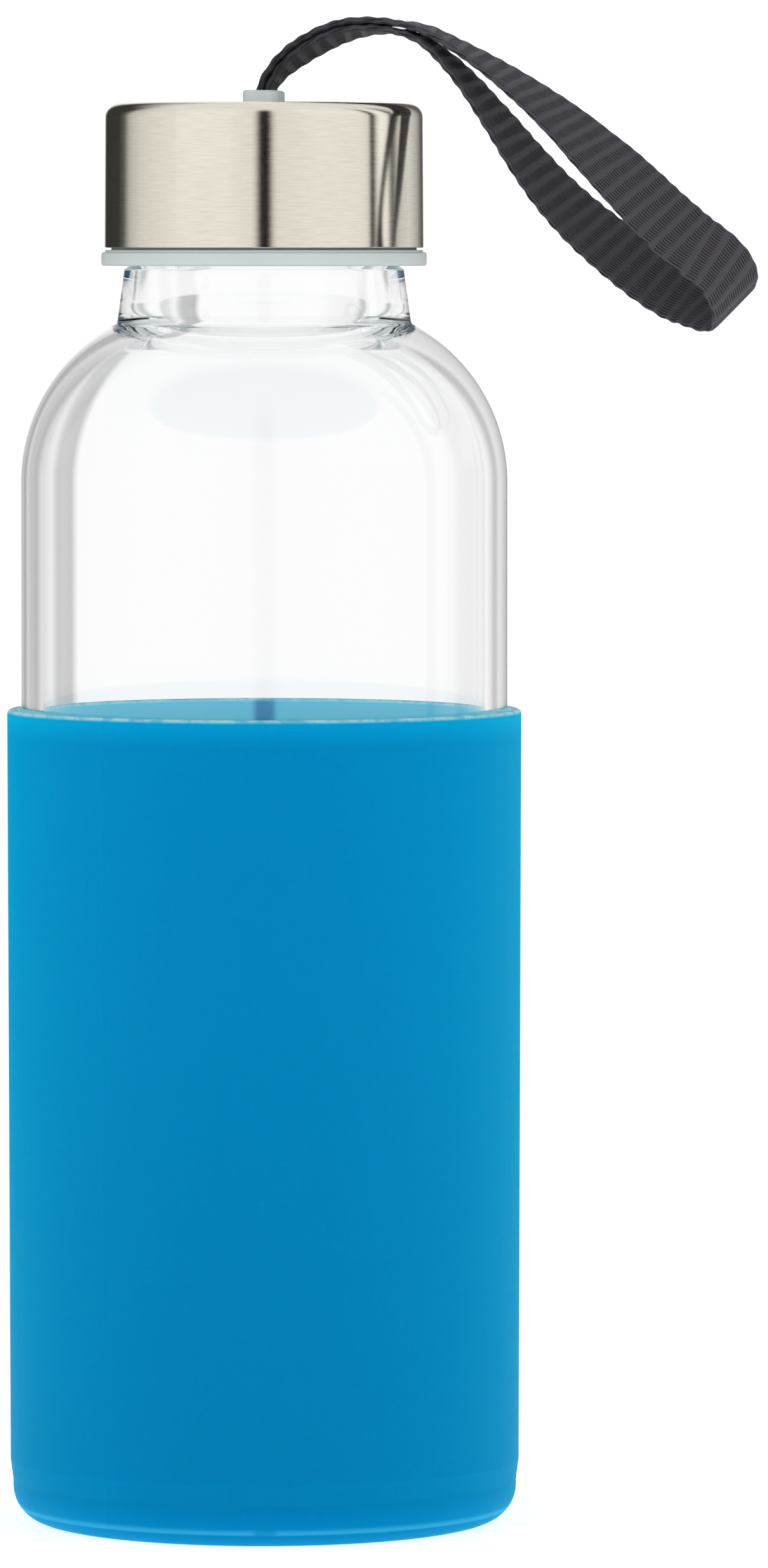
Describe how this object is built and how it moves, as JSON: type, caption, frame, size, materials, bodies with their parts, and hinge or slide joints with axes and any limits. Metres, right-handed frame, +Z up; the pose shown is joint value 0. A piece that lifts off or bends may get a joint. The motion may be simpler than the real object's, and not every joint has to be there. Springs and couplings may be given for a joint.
{
  "type": "water bottle",
  "caption": "Clear glass water bottle with a silicone sleeve, a steel-clad screw cap and a webbing wrist strap.",
  "frame": {"origin": "on the bottle's axis, in the plane that the sleeve's flat base rests on", "axes": "+Z up along the bottle's axis; +X towards the side that the wrist strap falls to"},
  "size_m": [0.1, 0.0688, 0.2012],
  "materials": {
    "silicone": "matt moulded silicone, slightly translucent",
    "clear_glass": "clear, polished",
    "gasket_rubber": "smooth silicone",
    "cap_plastic": "moulded polypropylene, slightly translucent",
    "brushed_shell": "brushed round the axis",
    "webbing": "woven polyester webbing"
  },
  "bodies": {
    "sleeve": {"silicone_sleeve": "silicone"},
    "bottle": {"glass_bottle": "clear_glass"},
    "seal": {"cap_gasket": "gasket_rubber"},
    "cap": {"inner_cap": "cap_plastic", "cap_shell": "brushed_shell", "strap_collar": "cap_plastic", "strap_root": "webbing"},
    "strap": {"wrist_strap": "webbing"}
  },
  "joints": [
    {"name": "bottle_out_of_sleeve", "type": "slide", "parent": "sleeve", "child": "bottle", "axis": [0, 0, 1], "range_m": [0, 0.11]},
    {"name": "cap_lift", "type": "slide", "parent": "bottle", "child": "seal", "axis": [0, 0, 1], "range_m": [0, 0.021]},
    {"name": "cap_turn", "type": "hinge", "parent": "seal", "child": "cap", "pos_m": [0, 0, 0.18], "axis": [0, 0, 1], "range_deg": [0, 2520]},
    {"name": "strap_raise", "type": "hinge", "parent": "cap", "child": "strap", "pos_m": [0.01455, 0, 0.19974], "axis": [0, -1, 0], "range_deg": [-15, 75]}
  ],
  "couplings": [
    {"joint": "cap_turn", "follows": "cap_lift", "rad_per_m": 2094.4}
  ]
}
